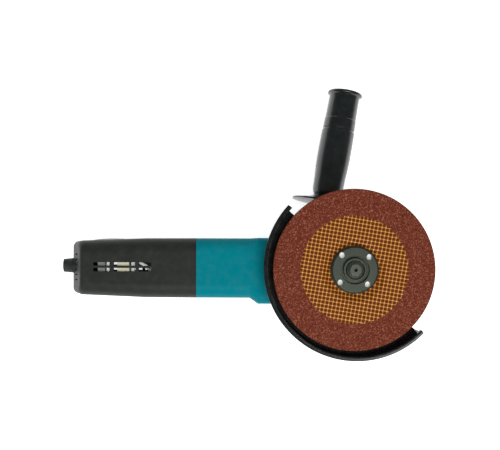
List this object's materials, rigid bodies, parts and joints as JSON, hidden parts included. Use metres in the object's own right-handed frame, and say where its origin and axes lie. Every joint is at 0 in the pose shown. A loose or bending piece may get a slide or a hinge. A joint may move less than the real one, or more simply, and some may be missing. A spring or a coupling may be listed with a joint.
{
  "type": "angle grinder",
  "caption": "Electric angle grinder lying on the back of its head, with a depressed-centre grinding wheel, turnable guard, side handle, slide switch and spindle lock.",
  "frame": {"origin": "centre of the lock nut's outer face, on the spindle axis, where the pin spanner fits", "axes": "+Z out along the spindle and up, with the tool lying on the back of its head; +X from the cord end to the head; +Y to the side handle"},
  "size_m": [0.299, 0.2232, 0.0979],
  "materials": {
    "cast_black": "black painted die casting, satin",
    "cast_alu": "bare die-cast aluminium",
    "screw_steel": "black oxide screw steel",
    "plate_steel": "stamped sheet",
    "dark_steel": "blackened turned steel",
    "gear_steel": "cut and hardened, oiled",
    "spring_steel": "drawn wire",
    "bearing_steel": "ground and polished",
    "bush_bronze": "sintered bronze",
    "felt": "grey felt",
    "abrasive": "resin-bonded brown-red grit",
    "glass_mesh": "orange resin-soaked glass weave",
    "zinc_steel": "zinc plated",
    "white_paper": "white blotter paper",
    "dark_nut": "dark phosphated, satin",
    "button_plastic": "moulded, satin",
    "guard_paint": "glossy black paint",
    "handle_plastic": "glossy black moulding",
    "teal_plastic": "teal moulding, satin gloss",
    "black_plastic": "moulded",
    "fan_plastic": "glass-filled nylon",
    "lamination_steel": "stacked laminations",
    "enamel_copper": "enamelled copper wire",
    "bare_copper": "bare copper bars",
    "black_rubber": "soft black rubber",
    "holder_brass": "folded brass",
    "carbon": "pressed carbon",
    "cover_plastic": "black-grey moulding, semi-matt",
    "switch_plastic": "moulded switch case",
    "knob_plastic": "black moulding",
    "cream_plastic": "cream capacitor case",
    "grey_plastic": "grey moulding",
    "white_wire": "white insulated wire"
  },
  "bodies": {
    "housing": {"gear_housing": "cast_black", "bearing_box": "cast_alu", "bearing_box_screws": "screw_steel", "gear_housing_screws": "screw_steel", "bearing_retainer": "plate_steel", "retainer_screws": "screw_steel", "spindle_bearing_outer": "bearing_steel", "spindle_bush": "bush_bronze", "dust_seal": "felt", "lock_spring": "spring_steel", "handle_grip": "handle_plastic", "handle_stud": "zinc_steel", "motor_housing": "teal_plastic", "fan_baffle": "black_plastic", "front_bearing_outer": "bearing_steel", "rear_bearing_outer": "bearing_steel", "rear_bearing_sleeve": "black_rubber", "stator_core": "lamination_steel", "field_coils": "enamel_copper", "stator_screws": "screw_steel", "brush_holders": "holder_brass", "carbon_brushes": "carbon", "brush_springs": "spring_steel", "rear_cover": "cover_plastic", "rear_cover_screw": "screw_steel", "switch_body": "switch_plastic", "capacitor": "cream_plastic", "cord_clamp": "grey_plastic", "cord_clamp_screws": "screw_steel", "cord_gland": "black_rubber", "motor_leads": "white_wire"},
    "wheel": {"spindle": "dark_steel", "driven_gear": "gear_steel", "gear_retaining_ring": "spring_steel", "spindle_bearing_inner": "bearing_steel", "spindle_bearing_balls": "bearing_steel", "inner_flange": "dark_steel", "grinding_wheel": "abrasive", "wheel_glass_mesh": "glass_mesh", "wheel_bore_ring": "zinc_steel", "paper_blotter": "white_paper", "lock_nut": "dark_nut"},
    "armature": {"armature_shaft": "bearing_steel", "armature_core": "lamination_steel", "armature_windings": "enamel_copper", "commutator": "bare_copper", "pinion": "gear_steel", "pinion_nut": "screw_steel", "fan": "fan_plastic", "front_bearing_inner": "bearing_steel", "rear_bearing_inner": "bearing_steel", "armature_bearing_balls": "bearing_steel"},
    "guard": {"guard_shell": "guard_paint", "guard_band": "zinc_steel", "guard_clamp_screw": "screw_steel", "guard_clamp_nut": "screw_steel"},
    "switch_slider": {"switch_knob": "knob_plastic", "switch_rod": "switch_plastic"},
    "spindle_lock": {"lock_button": "button_plastic", "lock_pin": "spring_steel"}
  },
  "joints": [
    {"name": "wheel_spin", "type": "hinge", "parent": "housing", "child": "wheel", "pos_m": [0, 0, 0], "axis": [0, 0, 1], "continuous": true},
    {"name": "armature_spin", "type": "hinge", "parent": "housing", "child": "armature", "pos_m": [-0.09, 0, -0.0652], "axis": [1, 0, 0], "continuous": true},
    {"name": "guard_turn", "type": "hinge", "parent": "housing", "child": "guard", "pos_m": [0, 0, -0.03], "axis": [0, 0, 1], "range_deg": [-90, 45]},
    {"name": "switch_slide", "type": "slide", "parent": "housing", "child": "switch_slider", "axis": [1, 0, 0], "range_m": [0, 0.007], "stiffness_N_per_m": 300, "springref_m": -0.006},
    {"name": "lock_press", "type": "slide", "parent": "housing", "child": "spindle_lock", "axis": [0, 0, 1], "range_m": [0, 0.0038], "stiffness_N_per_m": 600, "springref_m": -0.004, "deforming": ["lock_spring"]}
  ],
  "couplings": [
    {"joint": "armature_spin", "follows": "wheel_spin", "ratio": 3.3636}
  ]
}
